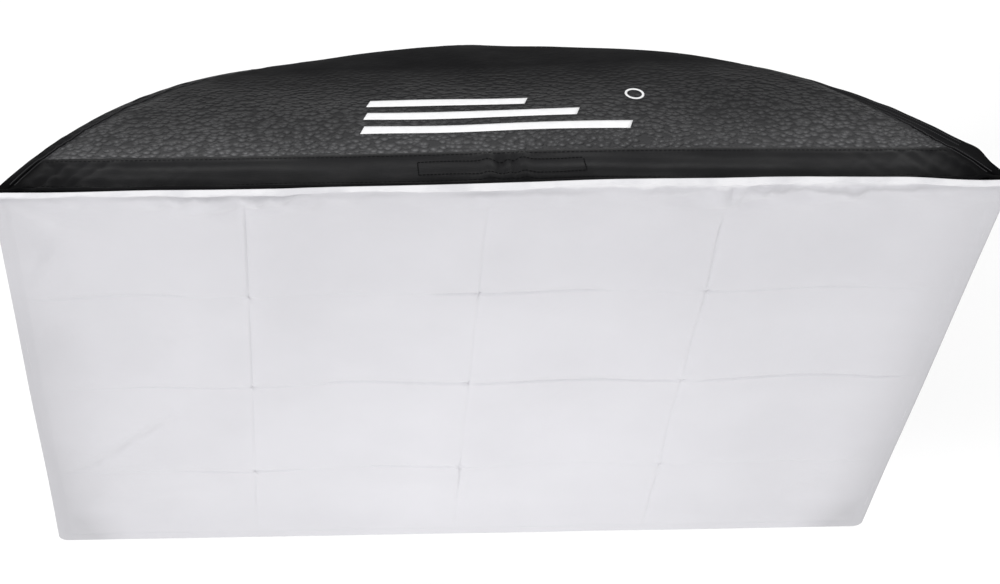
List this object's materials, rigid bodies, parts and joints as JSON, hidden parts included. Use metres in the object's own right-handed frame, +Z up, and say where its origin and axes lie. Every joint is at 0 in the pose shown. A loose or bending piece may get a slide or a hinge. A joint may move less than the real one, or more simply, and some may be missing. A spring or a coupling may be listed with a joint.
{
  "type": "rectangular softbox",
  "caption": "Rectangular softbox: black fabric shell on bowed rods, white front cloth, inner baffle and a bayonet speed ring at the back.",
  "frame": {"origin": "centre of the speed ring's rear face, on the mount's axis", "axes": "+Y back along the mount's axis into the lamp, -Y out of the white front, +Z up, +X to the right seen from the front"},
  "size_m": [0.9004, 0.4045, 0.6004],
  "materials": {
    "panel_fabric": "satin",
    "lip_fabric": "matte",
    "seam_binding": "matte",
    "silver_lining": "satin",
    "diffuser_cloth": "matte",
    "baffle_cloth": "matte",
    "hem_webbing": "matte",
    "fastener_tape": "matte",
    "rod_steel": "satin",
    "socket_steel": "polished",
    "tip_rubber": "matte",
    "cast_alloy": "satin",
    "insert_steel": "satin",
    "screw_steel": "satin",
    "knob_plastic": "matte",
    "pad_brass": "satin"
  },
  "bodies": {
    "mount": {"mount_insert": "insert_steel"},
    "softbox": {"baffle_anchors": "fastener_tape", "corner_pocket_bottom_left": "lip_fabric", "corner_pocket_bottom_right": "lip_fabric", "corner_pocket_top_left": "lip_fabric", "corner_pocket_top_right": "lip_fabric", "insert_retainer": "cast_alloy", "lining_bottom": "silver_lining", "lining_left": "silver_lining", "lining_right": "silver_lining", "lining_top": "silver_lining", "lip_bottom": "lip_fabric", "lip_left": "lip_fabric", "lip_patch": "fastener_tape", "lip_right": "lip_fabric", "lip_top": "lip_fabric", "lip_velcro": "fastener_tape", "panel_bottom": "panel_fabric", "panel_left": "panel_fabric", "panel_right": "panel_fabric", "panel_top": "panel_fabric", "rear_collar": "lip_fabric", "retainer_screws": "screw_steel", "rod_bottom_left": "rod_steel", "rod_bottom_right": "rod_steel", "rod_socket_bottom_left": "socket_steel", "rod_socket_bottom_right": "socket_steel", "rod_socket_top_left": "socket_steel", "rod_socket_top_right": "socket_steel", "rod_tip_bottom_left": "tip_rubber", "rod_tip_bottom_right": "tip_rubber", "rod_tip_top_left": "tip_rubber", "rod_tip_top_right": "tip_rubber", "rod_top_left": "rod_steel", "rod_top_right": "rod_steel", "seam_welt_bottom_left": "seam_binding", "seam_welt_bottom_right": "seam_binding", "seam_welt_top_left": "seam_binding", "seam_welt_top_right": "seam_binding", "socket_screws": "screw_steel", "speed_ring": "cast_alloy"},
    "lock_pad_body": {"lock_pad": "pad_brass"},
    "lock_screw_body": {"lock_screw": "screw_steel", "lock_knob": "knob_plastic"},
    "front_cloth": {"front_diffuser": "diffuser_cloth", "diffuser_hem": "hem_webbing"},
    "baffle": {"inner_baffle": "baffle_cloth", "baffle_tabs": "hem_webbing"}
  },
  "joints": [
    {"name": "ring_spin", "type": "hinge", "parent": "mount", "child": "softbox", "pos_m": [0, 0, 0], "axis": [0, 1, 0], "continuous": true},
    {"name": "pad_slide", "type": "slide", "parent": "softbox", "child": "lock_pad_body", "axis": [0, 0, -1], "range_m": [0, 0.0016]},
    {"name": "lock_turn", "type": "hinge", "parent": "lock_pad_body", "child": "lock_screw_body", "pos_m": [0, -0.0065, 0], "axis": [0, 0, -1], "range_deg": [0, 720]},
    {"name": "front_cloth_off", "type": "slide", "parent": "softbox", "child": "front_cloth", "axis": [0, -1, 0], "range_m": [0, 0.15]},
    {"name": "baffle_out", "type": "slide", "parent": "softbox", "child": "baffle", "axis": [0, -1, 0], "range_m": [0, 0.12]}
  ],
  "couplings": [
    {"joint": "lock_turn", "follows": "pad_slide", "rad_per_m": 7854}
  ]
}
